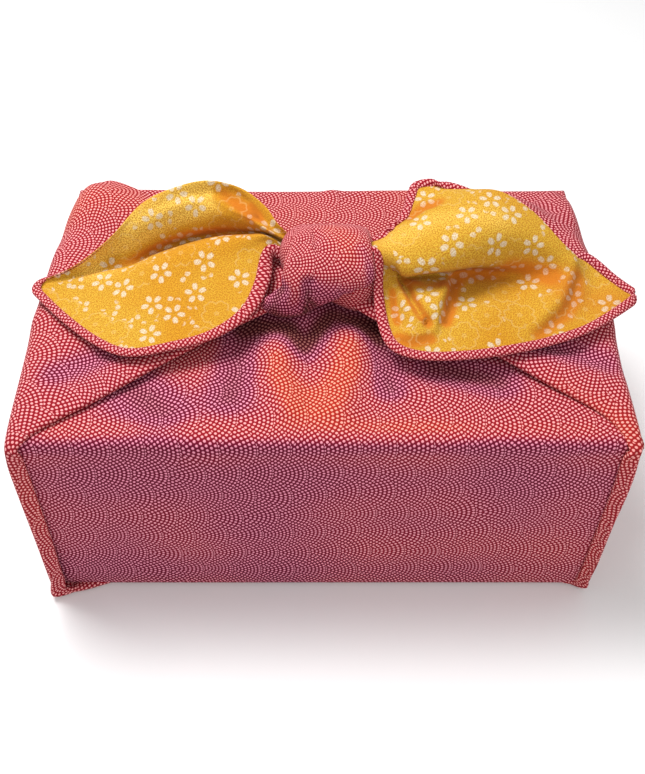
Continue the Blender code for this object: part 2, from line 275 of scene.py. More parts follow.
def blossoms():
    """White: printed blossoms and loose petals. Line: the pale outlined blossoms between them."""
    sums, takes, gives = group("blossoms", {"Cloth": "vector", "Spacing": "float"},
                               {"White": "float", "Line": "float"})

    def scatter(spacing, randomness, shift):
        made = sums.node("ShaderNodeTexVoronoi", voronoi_dimensions="2D", feature="F1")
        shifted = sums.vector("ADD", takes["Cloth"], shift)
        sums.feed(made.inputs["Vector"], shifted)
        sums.feed(made.inputs["Scale"], sums.math("DIVIDE", 1.0, spacing))
        made.inputs["Randomness"].default_value = randomness
        local = sums.vector("SUBTRACT", shifted, made.outputs["Position"])
        draw = sums.node("ShaderNodeSeparateColor")
        sums.feed(draw.inputs[0], made.outputs["Color"])
        return local, draw.outputs

    local, draw = scatter(takes["Spacing"], 0.62, (0.013, 0.004, 0))
    turn = sums.math("MULTIPLY", draw[0], 2 * math.pi)
    full = petals(sums, local, turn, 5, 3.2 * MM, 1.75 * MM, 1.15 * MM)
    shown = sums.math("LESS_THAN", draw[1], 0.5)
    white = sums.math("MULTIPLY", sums.between(full, 1.35, 0.45), shown)
    big = petals(sums, local, turn, 5, 3.6 * MM, 3.2 * MM, 2.9 * MM)
    rim = sums.math("MULTIPLY", sums.between(big, 1.25, 1.0), sums.between(big, 0.55, 0.85))
    line = sums.math("MULTIPLY", rim, sums.math("SUBTRACT", 1.0, shown))
    small_local, small_draw = scatter(sums.math("MULTIPLY", takes["Spacing"], 0.42), 0.95, (0.2, 0.1, 0))
    small_turn = sums.math("MULTIPLY", small_draw[0], 2 * math.pi)
    pair = petals(sums, small_local, small_turn, 2, 1.7 * MM, 1.4 * MM, 1.1 * MM)
    alone = sums.math("LESS_THAN", small_draw[1], 0.38)
    clear = sums.between(big, 1.0, 2.2)
    loose = sums.math("MULTIPLY", sums.math("MULTIPLY", sums.between(pair, 1.3, 0.5), alone), clear)
    sums.feed(gives["White"], sums.math("MAXIMUM", white, sums.math("MULTIPLY", loose, 0.85)))
    sums.feed(gives["Line"], line)
    return sums.tree


GRAIN = crepe_grain()
FAN_DOTS = fan_dots()
BLOSSOMS = blossoms()


def placed(sums, tree, **values):
    """Places a node group with its values, and gives back its outputs."""
    made = sums.node("ShaderNodeGroup")
    made.node_tree = tree
    for name, value in values.items():
        sums.feed(made.inputs[name], value)
    return made.outputs


def cloth_material(name, roughness, sheen):
    """A new cloth material: its sums, its place on the flat cloth in metres, and its shader."""
    made = bpy.data.materials.new(name)
    made.use_nodes = True
    sums = Sums(made.node_tree)
    shader = made.node_tree.nodes["Principled BSDF"]
    shader.inputs["Roughness"].default_value = roughness
    shader.inputs["Sheen Weight"].default_value = sheen
    shader.inputs["Sheen Roughness"].default_value = 0.5
    shader.inputs["Specular IOR Level"].default_value = 0.12
    cloth = sums.node("ShaderNodeUVMap", uv_map="cloth").outputs[0]
    return made, sums, cloth, shader


def bump(sums, shader, height, strength, distance):
    """Lets a height in the cloth or card catch the light."""
    made = sums.node("ShaderNodeBump")
    sums.feed(made.inputs["Height"], height)
    made.inputs["Strength"].default_value = strength
    made.inputs["Distance"].default_value = distance
    sums.feed(shader.inputs["Normal"], made.outputs[0])


DOT_PITCH = 1.6 * MM
DOT_ROWS = 8.5
DOT_RADIUS = 0.49 * MM
# The orange-red ground and dot are painted light as well as random warm tone, the plum ones are painted
# shade as well as random cool tone, and the darkest plum and the dot in shade are a painted deep shadow.
CRIMSON_RED = (0.29, 0.005, 0.014, 1)
LIT_AND_WARM_ORANGE_RED = (0.44, 0.022, 0.008, 1)
SHADED_AND_COOL_PLUM = (0.14, 0.002, 0.024, 1)
PAINTED_SHADOW_PLUM = (0.05, 0.001, 0.005, 1)
CRIMSON_GRAIN = (0.1, 0.002, 0.008, 1)
DOT_ON_RED = (0.93, 0.38, 0.38, 1)
DOT_LIT_AND_WARM = (0.9, 0.38, 0.26, 1)
DOT_SHADED_AND_COOL = (0.86, 0.3, 0.42, 1)
DOT_IN_SHADE = (0.36, 0.13, 0.11, 1)


def crimson_crepe():
    """The outside: crimson with pale dots and a random drift towards orange-red and plum, plus painted
    light in orange-red, painted shade in plum and a painted deep shadow.
    """
    made, sums, cloth, shader = cloth_material("crimson_crepe", 0.82, 0.02)
    dots = placed(sums, FAN_DOTS, Cloth=cloth, Fan=DOT_ROWS * DOT_PITCH, Pitch=DOT_PITCH,
                  Dot=DOT_RADIUS, Sway=4 * MM)
    grain = placed(sums, GRAIN, Cloth=cloth, Grain=0.8 * MM)
    here = sums.node("ShaderNodeTexCoord").outputs["Object"]
    drift = sums.math("SUBTRACT", sums.noise(here, 14.0, detail=1.0).outputs["Fac"], 0.5)
    # The attribute read here holds painted light and shade from the cloth's points: above 0 painted
    # orange-red light, below 0 painted plum shade, below -1 a painted deep shadow. The noise drift adds
    # random warm and cool tone on top.
    tint = sums.node("ShaderNodeAttribute", attribute_name="painted_light_and_shade").outputs["Fac"]
    tint = sums.math("ADD", tint, sums.math("MULTIPLY", drift, 1.5))
    warm_drift_and_painted_light = sums.between(tint, 0.0, 1.0)
    cool_drift_and_painted_shade = sums.between(tint, 0.0, -1.0)
    painted_deep_shadow = sums.between(tint, -1.0, -2.2)
    ground = sums.blend(warm_drift_and_painted_light, CRIMSON_RED, LIT_AND_WARM_ORANGE_RED)
    ground = sums.blend(cool_drift_and_painted_shade, ground, SHADED_AND_COOL_PLUM)
    ground = sums.blend(painted_deep_shadow, ground, PAINTED_SHADOW_PLUM)
    ground = sums.blend(sums.math("MULTIPLY", grain["Fleck"], 0.3), ground, CRIMSON_GRAIN)
    pale = sums.blend(warm_drift_and_painted_light, DOT_ON_RED, DOT_LIT_AND_WARM)
    pale = sums.blend(cool_drift_and_painted_shade, pale, DOT_SHADED_AND_COOL)
    pale = sums.blend(painted_deep_shadow, pale, DOT_IN_SHADE)
    sums.feed(shader.inputs["Base Color"], sums.blend(dots["Dot"], ground, pale))
    height = sums.math("ADD", sums.math("MULTIPLY", grain["Height"], 0.6),
                       sums.math("MULTIPLY", dots["Heart"], 0.5))
    bump(sums, shader, height, 0.45, 0.3 * MM)
    return made


BLOSSOM_SPACING = 13.5 * MM
AMBER_GROUND = (0.65, 0.31, 0.016, 1)
YELLOW_GROUND = (0.69, 0.42, 0.04, 1)
# The lit yellow is painted light, and the orange and brown fold colours are painted shade in the folds,
# hollows and valleys.
LIT_YELLOW = (0.95, 0.63, 0.11, 1)
OCHRE_GRAIN = (0.46, 0.16, 0.008, 1)
FOLD_SHADE_ORANGE = (0.58, 0.16, 0.01, 1)
FOLD_SHADOW_BROWN = (0.25, 0.06, 0.005, 1)
OUTLINE_YELLOW = (0.8, 0.6, 0.25, 1)
PETAL_WHITE = (0.76, 0.7, 0.56, 1)


def amber_crepe():
    """The inside: amber with an ochre grain, white blossoms and loose petals, and painted light and shade.
    """
    made, sums, cloth, shader = cloth_material("amber_crepe", 0.8, 0.04)
    flowers = placed(sums, BLOSSOMS, Cloth=cloth, Spacing=BLOSSOM_SPACING)
    grain = placed(sums, GRAIN, Cloth=cloth, Grain=0.55 * MM)
    here = sums.node("ShaderNodeTexCoord").outputs["Object"]
    wander = sums.between(sums.noise(here, 20.0).outputs["Fac"], 0.35, 0.65)
    # The attribute read here holds painted light and shade: above 0 painted lit yellow, below 0 painted
    # orange shade, below -1 a painted brown shadow, and the petals are dimmed in the painted shade.
    tint = sums.node("ShaderNodeAttribute", attribute_name="painted_light_and_shade").outputs["Fac"]
    ground = sums.blend(wander, AMBER_GROUND, YELLOW_GROUND)
    ground = sums.blend(sums.between(tint, 0.0, 1.0), ground, LIT_YELLOW)
    ground = sums.blend(sums.math("MULTIPLY", grain["Fleck"], 0.75), ground, OCHRE_GRAIN)
    painted_fold_shade = sums.math("MULTIPLY", sums.between(tint, 0.0, -1.0), 0.85)
    ground = sums.blend(painted_fold_shade, ground, FOLD_SHADE_ORANGE)
    ground = sums.blend(sums.between(tint, -1.0, -2.0), ground, FOLD_SHADOW_BROWN)
    ground = sums.blend(sums.math("MULTIPLY", flowers["Line"], 0.22), ground, OUTLINE_YELLOW)
    worn = sums.math("SUBTRACT", 0.8, sums.math("MULTIPLY", grain["Fleck"], 0.4))
    white = sums.math("MULTIPLY", flowers["White"], worn)
    white = sums.math("MULTIPLY", white, sums.math("SUBTRACT", 1.0, sums.math("MULTIPLY", painted_fold_shade, 0.6)))
    sums.feed(shader.inputs["Base Color"], sums.blend(white, ground, PETAL_WHITE))
    bump(sums, shader, grain["Height"], 0.8, 0.45 * MM)
    return made


CRIMSON = crimson_crepe()
AMBER = amber_crepe()


# The rigid box inside is plain card with a fibrous face. The cloth hides it, and is drawn tight
# round it, so it carries the cloth.
CARD_BUFF = (0.68, 0.58, 0.44, 1)
CARD_PALE = (0.75, 0.66, 0.52, 1)
CARD_FIBRE = (0.5, 0.4, 0.28, 1)


def plain_card():
    made = bpy.data.materials.new("plain_card")
    made.use_nodes = True
    sums = Sums(made.node_tree)
    shader = made.node_tree.nodes["Principled BSDF"]
    shader.inputs["Roughness"].default_value = 0.75
    here = sums.node("ShaderNodeTexCoord").outputs["Object"]
    fibre = sums.noise(here, 900.0, detail=3.0).outputs["Fac"]
    cloud = sums.noise(here, 30.0).outputs["Fac"]
    tone = sums.blend(sums.between(cloud, 0.3, 0.7), CARD_BUFF, CARD_PALE)
    tone = sums.blend(sums.math("MULTIPLY", fibre, 0.25), tone, CARD_FIBRE)
    sums.feed(shader.inputs["Base Color"], tone)
    bump(sums, shader, fibre, 0.2, 0.05 * MM)
    return made


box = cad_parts["box"]
for place in box.material_slots:
    place.material = plain_card()


# The outer flap of the cloth: from under the box, up the front, over the lid and a short way
# down the back. The cloth is drawn tight, and the knot pulls its lid into soft ridges.
CLOTH = 1.2 * MM
BOX_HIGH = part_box("box")[1]
LID = BOX_HIGH.z + 2.2 * MM
FRONT = BOX_HIGH.y + 2.3 * MM
FLAP_HALF_WIDTH = BOX_HIGH.x + 0.2 * MM
EDGE_ROUND = 4.5 * MM
HANG = 36 * MM
KNOT = np.array((3.5, 0.5, 118.5)) * MM


def bell(value, centre, reach):
    """1 at the centre, and falling away smoothly on both sides of it."""
    return np.exp(-((np.asarray(value) - centre) / reach) ** 2)


def away_from(points, path):
    """The distance of each point from a path of straight stretches, given in millimetres."""
    path = np.array(path, float) * MM
    best = np.full(len(points), 1e9)
    for start, end in zip(path, path[1:]):
        run = end - start
        share = np.clip((points - start) @ run / (run @ run), 0, 1)
        best = np.minimum(best, np.linalg.norm(points - start - share[:, None] * run, axis=1))
    return best


def through(points, steps):
    """A smooth curve through the given points, with steps to each gap (Catmull-Rom)."""
    points = np.asarray(points, float)
    knots = np.concatenate(([2 * points[0] - points[1]], points, [2 * points[-1] - points[-2]]))
    curve = []
    for before, start, end, after in zip(knots, knots[1:], knots[2:], knots[3:]):
        for step in range(steps):
            t = step / steps
            curve.append(0.5 * (2 * start + (end - before) * t
                                + (2 * before - 5 * start + 4 * end - after) * t ** 2
                                + (3 * start - before - 3 * end + after) * t ** 3))
    curve.append(points[-1])
    return np.array(curve)


def loft(table, along, across):
    """A grid of points through the rows of a table in millimetres."""
    rows = [through(np.array(row, float) * MM, across) for row in table]
    columns = [through([row[i] for row in rows], along) for i in range(len(rows[0]))]
    return np.array(columns).transpose(1, 0, 2)


def grid_normals(grid):
    """The way that each point of a grid faces."""
    run = np.gradient(grid, axis=0)
    side = np.gradient(grid, axis=1)
    normal = np.cross(side, run)
    return normal / np.maximum(np.linalg.norm(normal, axis=2, keepdims=True), 1e-12)


def creased(grid, creases):
    """Moves the grid along its normals: each crease is (path, height, half width) in millimetres."""
    flat = grid.reshape(-1, 3)
    lift = np.zeros(len(flat))
    for path, height, width in creases:
        lift += height * MM * bell(away_from(flat, path), 0, width * MM)
    return grid + grid_normals(grid) * lift.reshape(grid.shape[:2])[..., None]


def fold_under(grid, radius, tuck, steps=6):
    """Turns both long edges of a grid under, as a folded edge of cloth turns."""
    normal = grid_normals(grid)
    curled = []
    for edge, inner in ((0, 1), (-1, -2)):
        run = np.gradient(grid[:, edge], axis=0)
        run /= np.linalg.norm(run, axis=1, keepdims=True)
        inward = grid[:, inner] - grid[:, edge]
        inward -= (inward * run).sum(1, keepdims=True) * run
        inward /= np.linalg.norm(inward, axis=1, keepdims=True)
        up = normal[:, edge]
        centre = grid[:, edge] - up * radius
        turn = [centre + radius * (math.cos(a) * up - math.sin(a) * inward)
                for a in np.linspace(0, math.pi, steps + 1)[1:]]
        turn += [centre - radius * up + inward * tuck * share for share in (0.5, 1)]
        curled.append(turn)
    front = np.array(curled[0][::-1]).transpose(1, 0, 2)
    back = np.array(curled[1]).transpose(1, 0, 2)
    return np.concatenate((front, grid, back), axis=1)


def flatten(piece, start, end, heading, gather):
    """Unwraps the sheet without stretching it, at real size, with start-to-end at a heading."""
    deselect_all()
    piece.select_set(True)
    bpy.context.view_layer.objects.active = piece
    piece.data.uv_layers.new(name="cloth")
    bpy.ops.object.mode_set(mode="EDIT")
    bpy.ops.mesh.select_all(action="SELECT")
    bpy.ops.uv.unwrap(method="MINIMUM_STRETCH", margin=0)
    bpy.ops.object.mode_set(mode="OBJECT")
    mesh = piece.data
    flat = np.zeros(len(mesh.loops) * 2, np.float32)
    mesh.uv_layers["cloth"].data.foreach_get("uv", flat)
    flat = flat.reshape(-1, 2)
    corner = np.zeros(len(mesh.loops), np.int32)
    mesh.loops.foreach_get("vertex_index", corner)
    real = sum(face.area for face in mesh.polygons)
    loops = [list(face.loop_indices) for face in mesh.polygons]
    spread = 0
    for face in loops:
        x, y = flat[face].T
        spread += 0.5 * (np.dot(x, np.roll(y, -1)) - np.dot(y, np.roll(x, -1)))
    if spread < 0:
        flat[:, 0] *= -1
    flat *= gather * math.sqrt(real / abs(spread))
    at = {vertex: index for index, vertex in enumerate(corner)}
    line = flat[at[end]] - flat[at[start]]
    turn = heading - math.atan2(line[1], line[0])
    spin = np.array(((math.cos(turn), math.sin(turn)), (-math.sin(turn), math.cos(turn))))
    flat = (flat - flat[at[start]]) @ spin
    mesh.uv_layers["cloth"].data.foreach_set("uv", flat.astype(np.float32).ravel())


def light_and_shade_tone(points, light_and_shade_strokes):
    """Painted light and shade on each point: each stroke is (path, half width in millimetres, amount),
    where a warmer amount is painted light and a deeper one painted shade.
    """
    tone = np.zeros(len(points))
    for path, width, amount in light_and_shade_strokes:
        tone += amount * bell(away_from(points, path), 0, width * MM)
    return np.clip(tone, -2, 1)


def sheet(name, grid, outside, inside, rim, thickness=CLOTH, heading=math.pi / 4, light_and_shade_strokes=(),
          gather=1):
    """A sheet of cloth on a grid of points, laid flat for its pattern, with its thickness."""
    rows, columns = grid.shape[:2]
    index = np.arange(rows * columns).reshape(rows, columns)
    faces = np.stack((index[:-1, :-1], index[:-1, 1:], index[1:, 1:], index[1:, :-1]), -1)
    mesh = bpy.data.meshes.new(name)
    mesh.from_pydata(grid.reshape(-1, 3).tolist(), [], faces.reshape(-1, 4).tolist())
    piece = bpy.data.objects.new(name, mesh)
    bpy.context.scene.collection.objects.link(piece)
    for finish in (outside, inside, rim):
        mesh.materials.append(finish)
    middle = columns // 2
    flatten(piece, int(index[0, middle]), int(index[-1, middle]), heading, gather)
    # Painted light and shade, kept on the points for the cloth materials to read.
    painted_light_and_shade = mesh.attributes.new("painted_light_and_shade", "FLOAT", "POINT")
    painted_light_and_shade.data.foreach_set("value", light_and_shade_tone(grid.reshape(-1, 3), light_and_shade_strokes).astype(np.float32))
    wall = piece.modifiers.new("thickness", "SOLIDIFY")
    wall.thickness = thickness
    wall.offset = -1
    wall.material_offset = 1
    wall.material_offset_rim = 2
    bpy.ops.object.modifier_apply(modifier="thickness")
    for vert in mesh.vertices:
        vert.co.z = max(vert.co.z, 0.1 * MM)
    mesh.shade_smooth()
    return piece


def cloth_piece(piece, flat, rests_on, **more):
    """Attaches a sheet of the folded cloth to the root and hides the CAD cloth; its flat size and what it
    lies on are not used.
    """
    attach(piece, "root")
    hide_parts("furoshiki")


def run_length(line):
    """How far along a line each of its points lies."""
    return np.concatenate(([0], np.cumsum(np.linalg.norm(np.diff(line, axis=0), axis=1))))


def round_path(corners, radius, step):
    """Points every step along a path of straight stretches with rounded corners."""
    corners = np.array(corners, float)
    line = [corners[0]]
    for before, here, after in zip(corners, corners[1:], corners[2:]):
        back = (before - here) / np.linalg.norm(before - here)
        on = (after - here) / np.linalg.norm(after - here)
        corner = here + (back + on) * radius * 0.1
        for t in np.linspace(0, 1, 9):
            line.append((1 - t) ** 2 * (here + back * radius) + 2 * t * (1 - t) * corner
                        + t ** 2 * (here + on * radius))
    line.append(corners[-1])
    line = np.array(line)
    length = run_length(line)
    even = np.linspace(0, length[-1], int(length[-1] / step) + 1)
    return np.stack([np.interp(even, length, line[:, i]) for i in (0, 1)], 1)


def outer_flap():
    path = round_path(((20 * MM, 0), (-FRONT, 0), (-FRONT, LID), (FRONT + 2 * MM, LID),
                       (FRONT + 3 * MM, LID - HANG)), EDGE_ROUND, 1.7 * MM)
    across = np.linspace(-FLAP_HALF_WIDTH, FLAP_HALF_WIDTH, 110)
    grid = np.array([[(x, y, z) for x in across] for y, z in path])
    x, y, z = grid[..., 0], grid[..., 1], grid[..., 2]
    on_lid = np.clip((z - LID + 3 * MM) / (3 * MM), 0, 1) * bell(y, 0, 95 * MM) ** 0.5
    edge = np.clip((FRONT - np.abs(y)) / (14 * MM), 0, 1)
    rise = 3.6 * MM * bell(np.hypot(0.75 * (x - KNOT[0]), y), 0, 38 * MM)
    grid[..., 2] += on_lid * edge * rise
    back_edge = on_lid * bell(y, FRONT, 13 * MM)
    waves = np.sin(x / (19 * MM)) + 2 * bell(x, 4.5 * MM, 4 * MM) - 1.6 * bell(x, 0, 60 * MM)
    grid[..., 2] += back_edge * MM * waves
    slack = 0.7 * MM * np.sin(x / (31 * MM)) * np.sin(np.pi * np.clip(z / LID, 0, 1))
    grid[..., 1] += np.where(y < -FRONT + 1 * MM, slack, 0)
    ridges = (
        (((-17.5, -30, 104), (-17.5, -43.6, 103), (-13, -60, 101)), 3.0, 7),
        (((11, -25, 104), (9.7, -40, 103), (6, -60, 101)), 3.0, 8),
        (((-6, -20, 104), (-5, -36, 103)), -1.8, 4),
        (((-34, -18, 104), (-34, -46, 103)), -1.8, 7),
        (((22, -18, 104), (27, -44, 103)), -1.8, 6),
        (((44, -40, 103), (69, -46, 103)), -1.4, 7),
    )
    grid = creased(grid, ridges)
    # Painted light and shade: highlights on the lid's ridges, its front edge and its back, shadows in the
    # lid's hollows and under the knot and the corners, and shade down the front face, darkest at the top.
    light_and_shade_strokes = (
        (((-17.5, -36, 104), (-17.4, -43.6, 103), (-10, -58, 102)), 8, 1.2),
        (((11, -30, 105), (9.7, -40, 105), (2, -58, 103)), 9, 1.2),
        (((-100, -70, 102), (100, -70, 102)), 5, 0.6),
        (((20, -64, 102), (80, -62, 102)), 10, 0.3),
        (((-60, 40, 103), (60, 40, 103)), 34, 0.5),
        (((-34, -20, 103), (-34, -40, 102), (-36, -54, 102)), 9, -1.35),
        (((-74, -48, 101), (-60, -62, 101)), 12, -1.3),
        (((22, -20, 104), (25, -38, 102), (26, -50, 101)), 7, -1.4),
        (((44, -38, 101), (57, -42, 100), (69, -46, 101)), 8, -1.5),
        (((-30, -16, 105), (-14, -19, 105), (-8, -28, 103), (4, -12, 106), (24, -20, 105)), 7, -2),
        (((-110, -79, 99), (110, -79, 99)), 5, -0.8),
        (((-110, -78, 80), (110, -78, 80)), 18, -0.8),
        (((-110, -78, 48), (110, -78, 48)), 22, -0.75),
        (((-110, -78, 12), (110, -78, 12)), 18, -0.7),
    )
    piece = sheet("outer_flap", grid, CRIMSON, AMBER, CRIMSON, heading=math.pi, light_and_shade_strokes=light_and_shade_strokes)
    length = np.linalg.norm(np.diff(path, axis=0), axis=1).sum()
    cloth_piece(piece, (2 * FLAP_HALF_WIDTH, length), ["box"])


outer_flap()


# The inner flap is the opposite corner of the same cloth. It goes up the back and onto the lid,
# lies under the outer flap, and shows as the lower part of the back.
def inner_flap():
    low = 0.1 * MM
    high = LID - 1.6 * MM
    path = round_path(((30 * MM, low), (FRONT, low), (FRONT, high), (40 * MM, high)),
                      EDGE_ROUND, 2 * MM)
    across = np.linspace(FLAP_HALF_WIDTH, -FLAP_HALF_WIDTH, 90)
    grid = np.array([[(x, y, z) for x in across] for y, z in path])
    x, y, z = grid[..., 0], grid[..., 1], grid[..., 2]
    slack = 0.6 * MM * np.sin(x / (27 * MM) + 1) * np.sin(np.pi * np.clip(z / LID, 0, 1))
    grid[..., 1] -= np.where(y > FRONT - 1 * MM, slack, 0)
    piece = sheet("inner_flap", grid, CRIMSON, AMBER, CRIMSON)
    length = np.linalg.norm(np.diff(path, axis=0), axis=1).sum()
    cloth_piece(piece, (2 * FLAP_HALF_WIDTH, length), ["box"])


inner_flap()


# The two side flaps wrap each end of the box, fold over the front and back faces by a finger's
# width, and rise over the lid to the knot. Their long edges are folds, turned under.
LEFT_FLAP = (
    ((-88, -73, 0.8), (-94, -66, 0.6), (-104, -40, 0.6), (-106, 0, 0.6),
     (-104, 40, 0.6), (-99, 70, 0.6), (-97, 77, 0.8)),
    ((-111, -81.5, 2), (-117, -80, 1.5), (-117.5, -40, 1.5), (-117.5, 0, 1.5),
     (-117.5, 40, 1.5), (-117, 79, 1.5), (-112, 80, 2)),
    ((-113, -81.5, 12), (-118, -79.5, 12), (-120, -40, 12), (-120.4, 0, 12),
     (-120, 40, 12), (-118, 78.5, 12), (-112, 80, 12)),
    ((-113, -80, 40), (-118.4, -78.5, 40), (-120, -40, 40), (-121, 0, 40),
     (-120, 40, 40), (-118, 78, 40), (-112, 80, 40)),
    ((-113, -79.6, 75), (-118.6, -78, 75), (-120, -40, 75), (-121, 0, 75),
     (-120, 40, 75), (-117.5, 77.5, 75), (-111.5, 80, 75)),
    ((-113.5, -79.6, 92), (-118.6, -76.5, 93), (-119, -40, 95), (-119.4, 0, 95),
     (-118.6, 40, 95), (-116, 74, 94), (-110, 79.6, 92)),
    ((-114.5, -79, 99.5), (-116.6, -73, 101), (-117, -38, 103), (-117.4, 0, 104),
     (-116, 38, 103.6), (-111, 68, 106), (-105, 77, 102.5)),
    ((-106, -70.5, 103), (-108, -62, 104), (-110, -34, 106), (-111, 0, 107),
     (-109, 34, 108), (-104, 60, 112.5), (-97, 72, 109)),
    ((-86, -56.5, 104), (-88, -50, 105), (-91, -28, 106.5), (-93, 2, 107.5),
     (-91, 30, 108.4), (-87, 53, 111.5), (-80, 63, 108)),
    ((-62, -39, 106), (-64, -34, 107), (-66, -18, 108), (-68, 4, 108.5),
     (-66, 24, 109), (-62, 42, 108.6), (-59, 47, 106)),
    ((-40, -25, 108.5), (-41, -21, 109.6), (-42, -11, 110.6), (-43, 4, 111),
     (-42, 17, 111.6), (-39, 29, 111), (-37, 33, 109)),
    ((-23, -16, 111), (-23, -12.5, 112.6), (-23, -6, 114), (-23, 4, 115),
     (-23, 12, 115), (-22, 19.5, 114), (-22, 23, 112)),
    ((-8, -9, 113), (-8, -7, 114.6), (-8, -3, 116), (-8, 3, 117),
     (-8, 9, 116.4), (-8, 13, 115), (-8, 15, 113)),
)


def mirrored(table, change):
    """The same flap on the right end, with the few places where it hangs differently."""
    flap = [[(-x, y, z) for x, y, z in row] for row in table]
    for (row, column), place in change.items():
        flap[row][column] = place
    return [row[::-1] for row in flap]


RIGHT_CHANGES = {
    (0, 0): (96, -70, 0.8), (0, 1): (99, -64, 0.6), (1, 0): (109.5, -77.5, 2.4),
    (1, 1): (115.6, -76.5, 2.4), (2, 0): (112.4, -79.4, 12), (2, 1): (116.2, -77.8, 12),
    (3, 0): (113, -79.5, 40), (3, 1): (117, -78, 40), (4, 0): (113.4, -79.6, 75),
    (5, 5): (116, 74, 94), (6, 0): (115, -79, 99.5), (6, 1): (117.6, -73, 101),
    (6, 4): (115.4, 38, 103.2), (6, 5): (113.6, 63, 102.4), (6, 6): (108.5, 75, 101),
    (7, 0): (107, -64, 102.6), (7, 1): (109, -57, 104), (7, 5): (102, 54, 105),
    (7, 6): (96, 64, 102.6), (8, 0): (88, -49, 104), (8, 1): (90, -43, 105.4),
    (9, 0): (64, -32.5, 106.6), (9, 1): (66, -27, 107.6), (10, 0): (43, -27, 109),
    (10, 1): (44.5, -22, 110), (11, 0): (27, -24.5, 111), (11, 1): (27, -20, 112.6),
    (12, 0): (10, -13, 113), (12, 1): (10, -10, 114.6),
}


SIDE_FLAP_FLAT = (0.20, 0.18)


def side_flap(name, table, creases, light_and_shade_strokes):
    grid = loft([row[::-1] for row in table], 8, 10)
    grid = creased(grid, creases)
    grid = fold_under(grid, 1.3 * MM, 5 * MM)
    piece = sheet(name, grid, CRIMSON, CRIMSON, CRIMSON, light_and_shade_strokes=light_and_shade_strokes)
    cloth_piece(piece, SIDE_FLAP_FLAT, ["box", "outer_flap"])


LEFT_CREASES = (
    (((-30, -8, 112), (-64, -22, 107), (-100, -44, 104)), -1.8, 6),
    (((-30, 2, 114), (-70, -4, 109), (-112, -16, 106)), 1.6, 7),
    (((-30, 14, 114), (-70, 22, 109), (-112, 40, 106)), -1.6, 8),
)
RIGHT_CREASES = (
    (((30, -12, 112), (70, -20, 107), (112, -40, 105)), -2.2, 5),
    (((30, 0, 114), (70, -6, 109), (114, -16, 106)), 1.8, 7),
    (((30, 14, 114), (70, 22, 109), (112, 40, 106)), -1.6, 8),
)
# Painted light and shade on the side flaps: a painted shadow along each flap below the front edge of its
# corner, and painted light on the back of the left flap and the front end of the right flap.
LEFT_FLAP_PAINTED_LIGHT_AND_SHADE = (
    (((-74, -30, 107), (-104, -46, 104)), 7, -0.9),
    (((-60, 40, 108), (-112, 60, 100)), 20, 0.5),
)
RIGHT_FLAP_PAINTED_LIGHT_AND_SHADE = (
    (((60, -22, 107), (112, -40, 104)), 8, -0.8),
    (((90, -50, 103), (112, -70, 98)), 9, 0.5),
)
side_flap("left_flap", LEFT_FLAP, LEFT_CREASES, LEFT_FLAP_PAINTED_LIGHT_AND_SHADE)
side_flap("right_flap", mirrored(LEFT_FLAP, RIGHT_CHANGES), RIGHT_CREASES, RIGHT_FLAP_PAINTED_LIGHT_AND_SHADE)


# The square knot: two ends of the cloth cross on the lid, and one of them goes round the other as
# a broad smooth band. Drawn tight, it gathers the cloth, so its dots lie a little closer.
GATHER = 1.25
BAND = (
    (0, 3.5, 15), (45, 3.5, 15.5), (90, 3.5, 16), (125, 3.2, 17.2), (150, 2.2, 18.4), (165, 0.2, 17.8),
    (180, -5, 15.2), (198, -10.5, 13.5), (216, -13.5, 12), (270, -11, 10), (315, 0, 12), (360, 3.5, 15),
)


